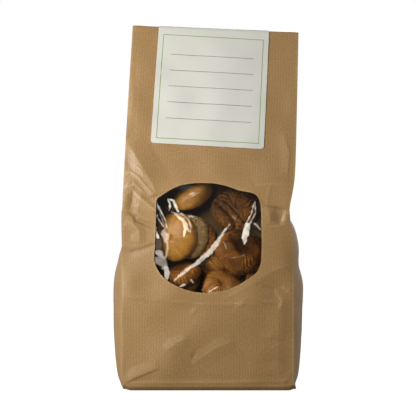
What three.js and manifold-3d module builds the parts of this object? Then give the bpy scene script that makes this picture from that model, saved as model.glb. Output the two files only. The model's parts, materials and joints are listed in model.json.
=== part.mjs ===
// A kraft paper block-bottom bag of dried figs, standing on its base with its mouth folded over behind.
// Millimetres, +Z up. The origin is the middle of the base. The window faces -Y, with +X to its right.

import * as THREE from "three";
import { mergeVertices } from "three/addons/utils/BufferGeometryUtils.js";
import Module from "manifold-3d";

const wasm = await Module();
wasm.setup();

// Paper bag
const PANEL_WIDTH = 140; // front and back panels, crease to crease
const GUSSET_DEPTH = 75; // side panels, crease to crease
const PAPER = 0.6; // wall, thicker than real paper so that it is a sound solid
const BASE_PLIES = 1.2; // glued flaps of the block bottom
const EDGE_ROLL = 5; // height over which the base rolls up into the walls
const EDGE_INSET = 5; // how far the flat of the base stands in from the walls
const CREASE = 0.8; // thickness of the folded paper along the four upright creases
const PANEL_SWELL = 5; // how far the figs push the middle of the front and back out
const SWELL_END = 190; // height where the panels are flat again
const GUSSET_SWELL = 9.6; // how far the figs push the sides out
const RIGHT_SIDE = { end: 140, curve: 0.45 }; // height where the swelling ends, and how abruptly
const LEFT_SIDE = { end: 118, curve: 0.5 };
const PINCH = 4; // how far the right crease is drawn in above the figs
const PINCH_HEIGHT = 147;
const PINCH_SPREAD = 20;
const TAPER_START = 145; // height where the front and back begin to lean together
const TAPER_CURVE = 1.3; // 1 would be straight from there to the mouth
const LEVELS = [
  5, 12, 22, 36, 50, 64, 78, 92, 106, 118, 129, 140, 146, 154, 166, 182, 200, 220, 240, 260, 280,
];
const PANEL_STOPS = [-1, -0.83, -0.63, -0.42, -0.21, 0, 0.21, 0.42, 0.63, 0.83]; // shares of the half width
const GUSSET_STOPS = [-1, -2 / 3, -1 / 3, 0, 1 / 3, 2 / 3]; // shares of the half depth

// Folded mouth
const BAG_HEIGHT = 300; // base to the fold
const FOLD_RISE = 2; // height of the rounded fold above the pressed paper
const MOUTH_STACK = 3; // pressed paper layers below the fold
const FLAP_LENGTH = 48; // how far the mouth hangs down behind
const FLAP_PLY = 1.2; // layers of the flap
const FLAP_GAP = 0.8; // air between the flap and the back panel
const FLAP_WIDTH = 139;
const FOLD_ROOT = 5; // how far the fold reaches down into the pressed paper
const FOLD_STEPS = 6;
const PROFILE_STEP = 12; // spacing of the points up the front and down the flap
const STACK_TOP = BAG_HEIGHT - FOLD_RISE;

// The upper bag leans to the right
const LEAN_ANGLE = THREE.MathUtils.degToRad(2.4);
const LEAN_START = 130;
const LEAN_END = 160;

// Window and its film
const WINDOW_HALF_WIDTH = 43.3;
const WINDOW_HALF_HEIGHT = 44.5;
const WINDOW_CENTRE = new THREE.Vector2(-0.3, 125.5); // across, and height above the base
const WINDOW_SIDE = [-17, 25]; // lower and upper ends of the straight sides, from the centre
const WINDOW_CORNER = 15; // reach of the curves past the straight sides
const WINDOW_BROW = 23; // half width over which top and bottom run nearly level
const CUT_DEPTH = 60; // cutting tools reach from the middle of the bag past the front
const FILM = 0.5;
const FILM_MARGIN = 8; // glued border around the window
const GAP = 0.3; // between touching pieces

// Label
const LABEL_WIDTH = 93;
const LABEL_LOW = 200; // height of its lower edge on the front
const LABEL_SHIFT = -3; // from the middle of the panel
const LABEL_BACK_LOW = 262; // height of its lower edge on the flap
const LABEL_PLY = 0.5;
const LABEL_GAP = 0.35;
const LABEL_CORNER = 2.5;
const LABEL_TURN = THREE.MathUtils.degToRad(-0.9); // stuck on slightly askew

// Figs
const FIG_COUNT = 46;
const FIG_RADIUS = [17.5, 20]; // range of the hidden figs
const FIG_HALF = [8.8, 10.2]; // half thickness
const FIG_PLEAT_DEPTH = 0.035; // share of the radius
const FIG_EYE_DEPTH = 2.6;
const FIG_EYE_RADIUS = 5;
const FIG_STEM_RISE = 1.8;
const FIG_FLAT_SIDE = 0.08; // share of the radius that one side is pressed in
const FIG_CROWN = 0.8; // under 1 fills the rim out
const SHOWN_GRID = [28, 8]; // facets round and from eye to stem, behind the window
const HIDDEN_GRID = [14, 6];
const SEED = 7;

const FIG_TONES = { golden: 0xb9853f, amber: 0x8f5e2a, brown: 0x6e4526, olive: 0x7d6138 };

// Figs that show in the window, each with its place and the way its eye faces
const WINDOW_FIGS = [
  { tone: "golden", at: [-26, -26, 126.5], eye: [-0.42, -0.9, 0.08], radius: 20.8, half: 9.8 },
  { tone: "olive", at: [-17.5, -8, 124], eye: [-0.42, -0.9, 0.08], radius: 20.5, half: 9.2 },
  { tone: "amber", at: [-10, 9, 121], eye: [-0.42, -0.9, 0.08], radius: 20, half: 8.8 },
  { tone: "golden", at: [-11, -20, 156], eye: [-0.48, -0.2, 0.86], radius: 18.8, half: 10.8 },
  { tone: "brown", at: [20.5, -26, 147], eye: [0.25, -0.87, 0.42], radius: 20.2, half: 9 },
  { tone: "brown", at: [24, -3, 154.5], eye: [0.25, -0.87, 0.42], radius: 20.5, half: 9 },
  { tone: "brown", at: [26, -22.5, 114.5], eye: [0.25, -0.8, 0.55], radius: 21.8, half: 10.4 },
  { tone: "amber", at: [8, -23.5, 84.5], eye: [0.1, -0.62, 0.78], radius: 18.8, half: 10 },
  { tone: "brown", at: [-17, -20, 93], eye: [-0.2, -0.35, 0.92], radius: 16.4, half: 9.2 },
  { tone: "amber", at: [14, 2, 98], eye: [0.1, -0.85, -0.5], radius: 18, half: 9 },
];

// Settling of the figs
const FIG_GAP = 0.4; // least air between two figs or a fig and the paper
const LAYER_COLUMNS = 3;
const LAYER_ROWS = 2;
const LAYER_RISE = 23;
const LAYER_SCATTER = new THREE.Vector3(4, 3, 3); // most a fig starts off its place in a layer
const LAYER_TILT = 0.7; // most its eye starts off upright, as a slope
const FALL_PASSES = 260;
const FALL_STEP = 0.25;
const SPREAD_PASSES = 900;
const CLOSEST_STEPS = 10;
const TURN_SHARE = 0.6; // how readily a push turns a fig
const RIM_EASE = 4; // a fig lying flat on a wall is pushed at its middle, a tilted one at its rim

const UP = new THREE.Vector3(0, 1, 0); // a fig's own eye direction
const { clamp, lerp, seededRandom } = THREE.MathUtils;

// A repeatable draw from -1 to 1
function either() {
  return 2 * seededRandom() - 1;
}

// Solids from geometries and back
function toSolid(geometry) {
  const bare = new THREE.BufferGeometry().setAttribute("position", geometry.getAttribute("position"));
  bare.setIndex(geometry.getIndex());
  const merged = mergeVertices(bare, 1e-3);
  const vertProperties = new Float32Array(merged.getAttribute("position").array);
  const triVerts = new Uint32Array(merged.getIndex().array);
  return new wasm.Manifold(new wasm.Mesh({ numProp: 3, vertProperties, triVerts }));
}

function toGeometry(solid) {
  const mesh = solid.getMesh();
  const geometry = new THREE.BufferGeometry();
  geometry.setAttribute("position", new THREE.BufferAttribute(new Float32Array(mesh.vertProperties), 3));
  geometry.setIndex(new THREE.BufferAttribute(new Uint32Array(mesh.triVerts), 1));
  return geometry;
}

// Pinches the right crease and bends the upper bag over to the right, square to its leaning middle line
function leaned(geometry) {
  const place = geometry.getAttribute("position");
  const span = LEAN_END - LEAN_START;
  for (let i = 0; i < place.count; i++) {
    const z = place.getZ(i);
    const x = place.getX(i) - pinch(place.getX(i), z);
    const share = clamp((z - LEAN_START) / span, 0, 1);
    const angle = LEAN_ANGLE * share;
    const above = Math.max(z - LEAN_END, 0);
    const shift = (LEAN_ANGLE * span * share * share) / 2 + above * Math.sin(LEAN_ANGLE);
    place.setX(i, x * Math.cos(angle) + shift);
    place.setZ(i, z - x * Math.sin(angle));
  }
  geometry.computeVertexNormals();
  return geometry;
}

function pinch(x, z) {
  const near = Math.exp(-(((z - PINCH_HEIGHT) / PINCH_SPREAD) ** 2));
  return PINCH * near * (Math.max(2 * x, 0) / PANEL_WIDTH) ** 2;
}

// Half the distance between the front and back creases: full over the figs, closing towards the mouth
function halfDepth(z) {
  const taper = clamp((z - TAPER_START) / (STACK_TOP - TAPER_START), 0, 1);
  return lerp(GUSSET_DEPTH / 2, MOUTH_STACK / 2, taper ** TAPER_CURVE);
}

function panelSwell(z) {
  return PANEL_SWELL * Math.sin(Math.PI * clamp(z / SWELL_END, 0, 1));
}

// How far a side's middle stands out, or folds in once the front and back lean together
function gussetReach(z, { end, curve }) {
  const swell = GUSSET_SWELL * Math.max(Math.sin(Math.PI * clamp(z / end, 0, 1)), 0) ** curve;
  return swell - Math.sqrt((GUSSET_DEPTH / 2) ** 2 - halfDepth(z) ** 2);
}

// One panel and the gusset after it, seen from above, as they lie on the front and right
function halfOutline(z, crease, gussetSide) {
  const side = PANEL_WIDTH / 2;
  const depth = halfDepth(z);
  const reach = gussetReach(z, gussetSide);
  const panel = PANEL_STOPS.map((s) => new THREE.Vector2(side * s, -depth - panelSwell(z) * (1 - s * s)));
  if (crease > 0) panel.push(new THREE.Vector2(side, -depth));
  const gusset = GUSSET_STOPS.map((s) => {
    const share = reach > 0 ? 1 - s * s : 1 - Math.abs(s);
    return new THREE.Vector2(side + reach * share, (depth - crease) * s);
  });
  const roll = clamp(1 - z / EDGE_ROLL, 0, 1);
  const inset = EDGE_INSET * (1 - Math.sqrt(1 - roll * roll));
  const squeeze = new THREE.Vector2(1 - inset / side, 1 - inset / depth);
  return [...panel, ...gusset].map((p) => p.multiply(squeeze));
}

// One level of the bag: the back and left are drawn as front and right, then turned half round
function bagOutline(z, crease) {
  const rest = halfOutline(z, crease, LEFT_SIDE).map((p) => p.negate());
  return [...halfOutline(z, crease, RIGHT_SIDE), ...rest];
}

function inwardNormal(from, to) {
  return new THREE.Vector2(from.y - to.y, to.x - from.x).normalize();
}

// The outline moved inwards with mitred corners
function insetOutline(outline, inset) {
  return outline.map((point, i) => {
    const before = inwardNormal(outline.at(i - 1), point);
    const after = inwardNormal(point, outline[(i + 1) % outline.length]);
    const mitre = inset / (1 + before.dot(after));
    return point.clone().addScaledVector(before.add(after), mitre);
  });
}

// A closed solid through level outlines, with flat ends
function loft(levels, outlineAt) {
  const outlines = levels.map(outlineAt);
  const count = outlines[0].length;
  const places = outlines.flatMap((outline, i) => outline.flatMap((p) => [p.x, p.y, levels[i]]));
  const faces = [];
  for (let i = 0; i + 1 < levels.length; i++) {
    for (let j = 0; j < count; j++) {
      const a = i * count + j;
      const b = i * count + ((j + 1) % count);
      faces.push(a, b, b + count, a, b + count, a + count);
    }
  }
  const top = (levels.length - 1) * count;
  for (const [a, b, c] of THREE.ShapeUtils.triangulateShape(outlines[0], [])) faces.push(c, b, a);
  for (const [a, b, c] of THREE.ShapeUtils.triangulateShape(outlines.at(-1), [])) {
    faces.push(top + a, top + b, top + c);
  }
  const geometry = new THREE.BufferGeometry();
  geometry.setAttribute("position", new THREE.Float32BufferAttribute(places, 3));
  geometry.setIndex(faces);
  return toSolid(geometry);
}

// The space inside the bag's walls up to a height, drawn in by an inset from their outer face
function innerSpace(inset, height) {
  const levels = [BASE_PLIES, ...LEVELS.filter((z) => z <= height)];
  return loft(levels, (z) => insetOutline(bagOutline(z, 0), inset));
}

// A shape drawn in X and Z, cut through the front half of the bag
function frontCutter(shape) {
  const options = { depth: CUT_DEPTH, bevelEnabled: false, curveSegments: 9 };
  return toSolid(new THREE.ExtrudeGeometry(shape, options).rotateX(Math.PI / 2));
}

// A shape drawn in Y and Z, run along X
function acrossBag(shape, width) {
  const bar = new THREE.ExtrudeGeometry(shape, { depth: width, bevelEnabled: false });
  const [x, y, z] = [[0, 1, 0], [0, 0, 1], [1, 0, 0]].map((axis) => new THREE.Vector3(...axis));
  return toSolid(bar.translate(0, 0, -width / 2).applyMatrix4(new THREE.Matrix4().makeBasis(x, y, z)));
}

// The window: straight sides with rounded shoulders that run into a bowed top and bottom
function windowShape(grow) {
  const across = WINDOW_HALF_WIDTH + grow;
  const half = WINDOW_HALF_HEIGHT + grow;
  const [low, high] = WINDOW_SIDE.map((end) => WINDOW_CENTRE.y + end);
  const [bottom, top] = [WINDOW_CENTRE.y - half, WINDOW_CENTRE.y + half];
  const [left, right] = [WINDOW_CENTRE.x - across, WINDOW_CENTRE.x + across];
  const brow = [WINDOW_CENTRE.x - WINDOW_BROW, WINDOW_CENTRE.x + WINDOW_BROW];
  const shape = new THREE.Shape().moveTo(left, low);
  shape.bezierCurveTo(left, low - WINDOW_CORNER, brow[0], bottom, WINDOW_CENTRE.x, bottom);
  shape.bezierCurveTo(brow[1], bottom, right, low - WINDOW_CORNER, right, low);
  shape.lineTo(right, high);
  shape.bezierCurveTo(right, high + WINDOW_CORNER, brow[1], top, WINDOW_CENTRE.x, top);
  shape.bezierCurveTo(brow[0], top, left, high + WINDOW_CORNER, left, high);
  return shape;
}

// Points from a height up to the pressed paper's top, where sideAt gives the distance from the middle
function climb(low, sideAt) {
  const steps = Math.ceil((STACK_TOP - low) / PROFILE_STEP);
  return Array.from({ length: steps + 1 }, (_, i) => {
    const z = lerp(low, STACK_TOP, i / steps);
    return new THREE.Vector2(sideAt(z), z);
  });
}

// Outer profile of the mouth in Y and Z: up the front, over the fold and down the flap
function mouthProfile(frontLow, backLow) {
  const front = climb(frontLow, (z) => -halfDepth(z));
  const flap = climb(backLow, (z) => halfDepth(z) + FLAP_GAP + FLAP_PLY);
  const middle = (flap.at(-1).x + front.at(-1).x) / 2;
  const reach = (flap.at(-1).x - front.at(-1).x) / 2;
  const fold = [];
  for (let i = 1; i < FOLD_STEPS; i++) {
    const angle = Math.PI * (1 - i / FOLD_STEPS);
    const height = STACK_TOP + FOLD_RISE * Math.sin(angle);
    fold.push(new THREE.Vector2(middle + reach * Math.cos(angle), height));
  }
  return [...front, ...fold, ...flap.reverse()];
}

// A profile moved outwards, to its left as it runs
function offsetProfile(profile, offset) {
  return profile.map((point, i) => {
    const before = profile[Math.max(i - 1, 0)];
    const after = profile[Math.min(i + 1, profile.length - 1)];
    return point.clone().addScaledVector(inwardNormal(before, after), offset);
  });
}

// The rounded fold with the flap behind it, which stands off the back panel up to the fold's root
function foldedMouth() {
  const root = STACK_TOP - FOLD_ROOT;
  const outer = mouthProfile(root, BAG_HEIGHT - FLAP_LENGTH);
  const hanging = outer.filter((p) => p.x > 0 && p.y <= root).reverse();
  const inner = hanging.map((p) => new THREE.Vector2(p.x - FLAP_PLY, p.y));
  return acrossBag(new THREE.Shape([...outer, ...inner]), FLAP_WIDTH);
}

function paperBag() {
  const levels = [0, EDGE_ROLL / 3, ...LEVELS, STACK_TOP];
  const block = loft(levels, (z) => bagOutline(z, CREASE));
  const walls = block.subtract(innerSpace(PAPER, STACK_TOP)).subtract(frontCutter(windowShape(0)));
  return leaned(toGeometry(walls.add(foldedMouth())));
}

function windowFilm() {
  const outer = innerSpace(PAPER + GAP, SWELL_END);
  const skin = outer.subtract(innerSpace(PAPER + GAP + FILM, SWELL_END));
  return leaned(toGeometry(skin.intersect(frontCutter(windowShape(FILM_MARGIN)))));
}

// A sticker that runs up the front, over the fold and a little way down the flap
function label() {
  const profile = mouthProfile(LABEL_LOW - PROFILE_STEP, LABEL_BACK_LOW);
  const back = offsetProfile(profile, LABEL_GAP);
  const face = offsetProfile(profile, LABEL_GAP + LABEL_PLY);
  const strip = acrossBag(new THREE.Shape([...back, ...face.reverse()]), PANEL_WIDTH);
  const half = LABEL_WIDTH / 2;
  const outline = new THREE.Shape().moveTo(-half, CUT_DEPTH);
  outline.lineTo(-half, LABEL_CORNER).quadraticCurveTo(-half, 0, LABEL_CORNER - half, 0);
  outline.lineTo(half - LABEL_CORNER, 0).quadraticCurveTo(half, 0, half, LABEL_CORNER);
  outline.lineTo(half, 2 * CUT_DEPTH).lineTo(-half, 2 * CUT_DEPTH);
  const options = { depth: 2 * CUT_DEPTH, bevelEnabled: false, curveSegments: 3 };
  const block = new THREE.ExtrudeGeometry(outline, options);
  block.rotateZ(LABEL_TURN).translate(LABEL_SHIFT, LABEL_LOW, -CUT_DEPTH).rotateX(Math.PI / 2);
  return leaned(toGeometry(strip.intersect(toSolid(block))));
}

// A pressed dried fig with its eye on +Y: pleats run from the stem over the rim to the sunken eye
function figGeometry({ radius, half, grid, turn }) {
  const [around, down] = grid;
  const pleats = around / 2;
  const fig = new THREE.SphereGeometry(1, around, down);
  const place = fig.getAttribute("position");
  for (let i = 0; i < place.count; i++) {
    const height = place.getY(i);
    const ring = Math.hypot(place.getX(i), place.getZ(i));
    const angle = Math.atan2(place.getZ(i), place.getX(i));
    const valley = 0.5 - 0.5 * Math.cos(pleats * angle);
    const flat = 0.5 - 0.5 * Math.cos(angle - turn);
    const width = radius * ring * (1 - FIG_PLEAT_DEPTH * valley * ring - FIG_FLAT_SIDE * flat);
    const crown = Math.sign(height) * Math.abs(height) ** FIG_CROWN;
    const near = Math.exp(-((width / FIG_EYE_RADIUS) ** 2));
    const pole = height > 0 ? -FIG_EYE_DEPTH * near : FIG_STEM_RISE * (1 - near);
    const rise = half * crown + pole * Math.abs(crown);
    place.setXYZ(i, width * Math.cos(angle), rise, width * Math.sin(angle));
  }
  fig.deleteAttribute("normal");
  fig.deleteAttribute("uv");
  const closed = mergeVertices(fig, 1e-3);
  closed.computeVertexNormals();
  return closed;
}

// While settling, a fig is a flat disc rounded by its half thickness
function facing(fig) {
  return UP.clone().applyQuaternion(fig.turned);
}

function closestOnDisc(fig, point) {
  const away = point.clone().sub(fig.centre);
  away.addScaledVector(facing(fig), -away.dot(facing(fig)));
  return fig.centre.clone().add(away.clampLength(0, fig.radius - fig.half));
}

// Moves a fig by a push at one point of it, turning it as it goes
function nudge(fig, point, push) {
  const lever = point.clone().sub(fig.centre);
  const spin = lever.cross(push).multiplyScalar(TURN_SHARE / fig.radius ** 2);
  fig.centre.add(push);
  if (spin.length() > 0) {
    const step = new THREE.Quaternion().setFromAxisAngle(spin.clone().normalize(), spin.length());
    fig.turned.premultiply(step).normalize();
  }
}

// Parts two figs that are too close. A fig placed in the window gives way only to another such fig.
function part(a, b) {
  if (a.centre.distanceTo(b.centre) > a.radius + b.radius + FIG_GAP) return;
  let onA = a.centre;
  let onB = b.centre;
  for (let i = 0; i < CLOSEST_STEPS; i++) {
    onB = closestOnDisc(b, onA);
    onA = closestOnDisc(a, onB);
  }
  const apart = onA.clone().sub(onB);
  const depth = a.half + b.half + FIG_GAP - apart.length();
  if (depth <= 0) return;
  const share = a.shown === b.shown ? 0.5 : a.shown ? 0 : 1;
  if (apart.lengthSq() < 1e-6) apart.copy(a.centre).sub(b.centre);
  apart.normalize();
  nudge(a, onA, apart.clone().multiplyScalar(depth * share));
  nudge(b, onB, apart.multiplyScalar(-depth * (1 - share)));
}

// The furthest point of a fig's disc in a direction
function reachOf(fig, direction) {
  const along = direction.clone().addScaledVector(facing(fig), -direction.dot(facing(fig)));
  const share = Math.min(1, along.length() * RIM_EASE);
  if (share > 0) along.setLength((fig.radius - fig.half) * share);
  return fig.centre.clone().add(along);
}

// Keeps a fig off the base and the paper round it
function contain(fig) {
  const clear = fig.half + FIG_GAP;
  const walls = [
    [new THREE.Vector3(0, 0, -1), () => -BASE_PLIES],
    [new THREE.Vector3(1, 0, 0), (p) => sideReach(p, fig.half) - pinch(PANEL_WIDTH / 2, p.z)],
    [new THREE.Vector3(-1, 0, 0), (p) => sideReach(p, fig.half) - LEAN_ANGLE * (LEAN_END - LEAN_START)],
    [new THREE.Vector3(0, -1, 0), (p) => panelDepth(p, fig.half) - 2 * GAP - FILM],
    [new THREE.Vector3(0, 1, 0), (p) => panelDepth(p, fig.half)],
  ];
  for (const [direction, limit] of walls) {
    const tip = reachOf(fig, direction);
    const over = tip.dot(direction) + clear - limit(tip);
    if (over > 0) nudge(fig, tip, direction.clone().multiplyScalar(-over));
  }
}

// Room inside the front and back, and inside the sides, up to a little above a point
function panelDepth(point, above) {
  const share = clamp((2 * point.x) / PANEL_WIDTH, -1, 1);
  return halfDepth(point.z + above) + panelSwell(point.z) * (1 - share * share) - PAPER;
}

function sideReach(point, above) {
  return PANEL_WIDTH / 2 + Math.min(gussetReach(point.z + above, LEFT_SIDE), 0) - PAPER;
}

// Hidden figs start in loose layers up the bag, skipping places that a window fig holds
function layeredFigs(shown) {
  const figs = [];
  const tones = Object.keys(FIG_TONES);
  for (let slot = 0; figs.length < FIG_COUNT - shown.length; slot++) {
    const layer = Math.floor(slot / (LAYER_COLUMNS * LAYER_ROWS));
    const column = slot % LAYER_COLUMNS;
    const row = Math.floor(slot / LAYER_COLUMNS) % LAYER_ROWS;
    const scatter = new THREE.Vector3(either(), either(), either()).multiply(LAYER_SCATTER);
    const centre = new THREE.Vector3(
      ((column + 0.5) / LAYER_COLUMNS - 0.5) * PANEL_WIDTH,
      ((row + 0.5) / LAYER_ROWS - 0.5) * GUSSET_DEPTH,
      (layer + 0.5) * LAYER_RISE,
    ).add(scatter);
    const eye = [either() * LAYER_TILT, either() * LAYER_TILT, Math.sign(either())];
    const radius = lerp(...FIG_RADIUS, seededRandom());
    const half = lerp(...FIG_HALF, seededRandom());
    const tone = tones[Math.floor(seededRandom() * tones.length)];
    if (shown.some((fig) => fig.centre.distanceTo(centre) < fig.half + half)) continue;
    figs.push(startedFig({ tone, at: centre.toArray(), eye, radius, half }, false));
  }
  return figs;
}

function startedFig({ tone, at, eye, radius, half }, shown) {
  const turned = new THREE.Quaternion().setFromUnitVectors(UP, new THREE.Vector3(...eye).normalize());
  return { tone, radius, half, shown, turned, centre: new THREE.Vector3(...at) };
}

function settledFigs() {
  const shown = WINDOW_FIGS.map((fig) => startedFig(fig, true));
  const figs = [...shown, ...layeredFigs(shown)];
  for (let pass = 0; pass < FALL_PASSES + SPREAD_PASSES; pass++) {
    if (pass < FALL_PASSES) {
      for (const fig of figs) if (!fig.shown) fig.centre.z -= FALL_STEP;
    }
    figs.forEach((fig, i) => figs.slice(i + 1).forEach((other) => part(fig, other)));
    figs.forEach(contain);
  }
  return figs;
}

function paint(color, roughness) {
  return new THREE.MeshStandardMaterial({ color, roughness, metalness: 0 });
}

function named(name, geometry, material) {
  const mesh = new THREE.Mesh(geometry, material);
  mesh.name = name;
  return mesh;
}

const bag = new THREE.Group();
bag.add(named("paper_bag", paperBag(), paint(0xa27c50, 0.85)));
const filmPaint = paint(0xf2f2ee, 0.08);
filmPaint.transparent = true;
filmPaint.opacity = 0.25;
bag.add(named("window_film", windowFilm(), filmPaint));
bag.add(named("label", label(), paint(0xe6e5da, 0.55)));

seededRandom(SEED);
const figs = new THREE.Group();
settledFigs().forEach((fig, i) => {
  const grid = fig.shown ? SHOWN_GRID : HIDDEN_GRID;
  const geometry = figGeometry({ ...fig, grid, turn: either() * Math.PI });
  const mesh = named(`fig_${String(i + 1).padStart(2, "0")}`, geometry, paint(FIG_TONES[fig.tone], 0.5));
  mesh.position.copy(fig.centre);
  mesh.quaternion.copy(fig.turned);
  figs.add(mesh);
});

const root = new THREE.Group();
root.add(bag, figs);

export default root;
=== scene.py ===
"""A kraft paper bag of dried figs with a clear window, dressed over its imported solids.

Metres, +Z up. The origin is the middle of the base, the window faces -Y and +X is to its right.
"""

import json
import math
from functools import partial

import bpy
import numpy as np
from bpy.props import FloatProperty, FloatVectorProperty, PointerProperty
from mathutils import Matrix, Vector


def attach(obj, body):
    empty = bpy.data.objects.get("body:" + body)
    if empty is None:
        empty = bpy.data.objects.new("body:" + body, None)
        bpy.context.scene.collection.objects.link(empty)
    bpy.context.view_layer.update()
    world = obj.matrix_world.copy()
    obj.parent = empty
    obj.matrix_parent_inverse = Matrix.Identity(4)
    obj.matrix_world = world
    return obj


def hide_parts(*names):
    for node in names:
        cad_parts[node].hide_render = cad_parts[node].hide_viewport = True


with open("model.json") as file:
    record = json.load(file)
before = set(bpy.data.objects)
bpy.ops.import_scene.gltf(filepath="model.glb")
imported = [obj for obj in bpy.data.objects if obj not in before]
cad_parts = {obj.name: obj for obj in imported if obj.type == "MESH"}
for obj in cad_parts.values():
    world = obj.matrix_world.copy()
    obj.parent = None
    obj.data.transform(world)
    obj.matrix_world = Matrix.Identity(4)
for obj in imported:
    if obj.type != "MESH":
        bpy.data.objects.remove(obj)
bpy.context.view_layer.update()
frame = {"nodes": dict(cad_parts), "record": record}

bl_info = {
    "name": "Kraft Bag of Dried Figs",
    "version": (1, 0, 0),
    "blender": (4, 5, 0),
    "location": "View3D > Sidebar > Fig Bag",
    "description": "Models a ribbed kraft paper bag of dried figs with a clear window and a plain label",
    "category": "Object",
}

MM = 0.001

# Bag walls: millimetres unless a share
EDGE_ROLL = 3.6
EDGE_INSET = 2.6
CORNER_LIFT = 2.6
CORNER_REACH = 7.0
LEFT_CORNER = 0.6  # how far the base tucks in at each end; below nought it flares
RIGHT_CORNER = -2.2
EDGE_CURVE = 1.15
SWELL_END = 190.0
RIGHT_SIDE = (140.0, 0.45)  # height where the side stops swelling, and how abruptly
LEFT_SIDE = (118.0, 0.5)
SIDE_DENT = (100.0, 11.0, 2.4)  # height, spread and depth of the hollow in the right side
PINCH = 4.0
PINCH_HEIGHT = 147.0
PINCH_SPREAD = 20.0
TAPER_START = 145.0
TAPER_CURVE = 1.3
LEAN_START = 130.0
LEAN_END = 160.0
FOLD_RISE = 2.0
MOUTH_STACK = 3.0
FLAP_GAP = 0.8
FLAP_PLY = 1.2
INNER_RISE = 0.3

# Mesh of the bag: faces across each panel, and rows up it
FRONT_COLUMNS = 148
FINE_COLUMNS = (0.36, 0.22)  # share of the front's columns, and the share of its width they stand in
SIDE_COLUMNS = 18
BACK_COLUMNS = 32
# Where each band of rows ends, and its rows
ROW_BANDS = ((20.0, 14), (118.0, 58), (205.0, 104), (298.0, 30))
FOLD_ROWS = 8
FLAP_ROWS = 22
ROLL_ROWS = 5
BASE_RINGS = (0.0, 0.25, 0.5, 0.72, 0.88)
SHEET_STEPS = (8.0, 0.9, 2.1)  # length of paper from row to row on the base, fold and flap

# Low relief of the walls
LOOSE_FRONT = (30, (-68, 68), (12, 205), (1.5, 5))  # count, range across, range up, widths of flanks
LOOSE_BACK = (22, (-70, 70), (10, 250), (4, 10))
LOOSE_SIDES = (16, (-37, 37), (8, 210), (4, 9))
LOOSE_GAIN = 2.2
BACK_RISE = 0.9
SIDE_RISE = 0.5
RELIEF_START = 1.5  # half depth of the bag above which the relief grows, and over how much
RELIEF_RANGE = 6.0
SEAM_PLACE = 24.0
SEAM_HALF = 9.0
SEAM_STEP = 0.35
FRONT_SEED = 11
WALL_SEED = 5
EDGE_REACH = 0.12  # share of a panel's half width over which its relief fades in
RUBBED = (0.3, 0.25, 0.6)  # wear of the panels' edges, the foot and the window's cut edge

# Creases of the front as (points across and up, height, foot to the right of the way, foot to its left).
# A height below nought is a valley.
FRONT_CREASES = (
    (((-76, 79), (-43, 75.7), (1, 71.8), (40, 73), (78, 77)), 0.45, 2.0, 9.0),
    (((-68, 205), (-64.8, 199.5), (-58.1, 189.7), (-51.8, 179), (-45.6, 169.2), (-42.5, 159.4)),
     2.3, 8.0, 16.0),
    (((-68, 178), (-62.6, 179), (-56.3, 173.7), (-50.1, 166.5), (-43.8, 160.3)), 1.1, 2.2, 1.6),
    (((-60, 184), (-55.5, 181.5), (-52, 176)), 0.6, 1.4, 1.6),
    (((-68, 166), (-60, 168.6), (-55, 164.5), (-50, 159)), 0.7, 4.0, 2.0),
    (((-66.5, 168.5), (-64.3, 166.5), (-56.3, 158.5), (-50.1, 153.2), (-43.8, 148.3), (-41, 146)),
     1.5, 5.0, 4.0),
    (((-66, 166.5), (-61.2, 163), (-62.5, 155), (-64.8, 147.4)), -1.5, 4.5, 7.0),
    (((-66, 146.4), (-60.3, 142.5), (-59, 138.9), (-52.7, 136.2), (-45.6, 133.1), (-42.5, 132)),
     -1.1, 1.4, 4.0),
    (((-62, 144.5), (-57, 145), (-52, 141), (-47, 139.5)), 0.5, 2.0, 2.0),
    (((-67.5, 138.8), (-62.6, 137.4), (-57.2, 131.8), (-55.9, 126.4), (-57, 121)), 1.1, 7.0, 6.0),
    (((-71, 117), (-61.6, 114.4), (-52, 117.3), (-42, 120.5)), -0.7, 5.0, 1.8),
    (((38, 168.4), (52, 168.8), (69, 169)), 0.4, 1.5, 8.0),
    (((45, 152), (56, 149.7), (67, 147)), -0.8, 4.0, 1.5),
    (((48, 152), (50, 136)), 1.1, 7.0, 7.0),
    (((62, 149), (57, 136)), -1.5, 8.0, 4.0),
    (((45, 134.6), (58, 134.6), (66, 138.5)), 0.45, 1.6, 5.0),
    (((67, 148), (63.5, 140), (70, 130)), 0.8, 3.0, 2.0),
    (((38, 88), (55, 83.5), (70, 82.4)), -0.6, 2.0, 7.0),
    (((60, 85), (70, 79.5)), 0.8, 1.6, 5.0),
    (((54, 83), (60, 74), (57.5, 66)), 0.8, 2.0, 11.0),
    (((61, 210), (66, 195), (64, 174)), 0.8, 6.0, 3.0),
    (((-71, 5.5), (-59, 12), (-40, 20)), 1.2, 2.0, 8.0),
    (((-70, 6.5), (-60, 8.6), (-46, 9.5)), -0.5, 1.4, 1.8),
    (((-69, 7.4), (-30, 7.2), (22, 7.5), (70, 8.4)), 0.55, 2.6, 2.4),
    (((57, 8), (56, 40), (57, 76)), 1.1, 12.0, 26.0),
    (((-34.5, 34.5), (-26.8, 40.5), (-17, 45.5)), 0.85, 10.0, 5.0),
    (((-13.6, 25.5), (-9.6, 32.2)), -0.75, 1.4, 2.4),
    (((-13, 23), (-4, 29.7), (8, 37.8), (21, 42.5)), 0.8, 11.0, 6.0),
    (((22, 69), (31, 73.6)), 0.7, 1.5, 2.4),
    (((-13.5, 63), (-8.5, 70.3)), 0.5, 1.5, 2.4),
    (((40, 22), (56, 27), (70, 20)), -0.5, 8.0, 8.0),
    (((52, 44), (70, 40)), -0.4, 6.0, 7.0),
    (((60, 6), (71, 15)), 0.5, 1.8, 5.0),
    (((-66, 292), (-63, 240), (-66, 208)), 0.35, 2.0, 4.0),
)

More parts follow.
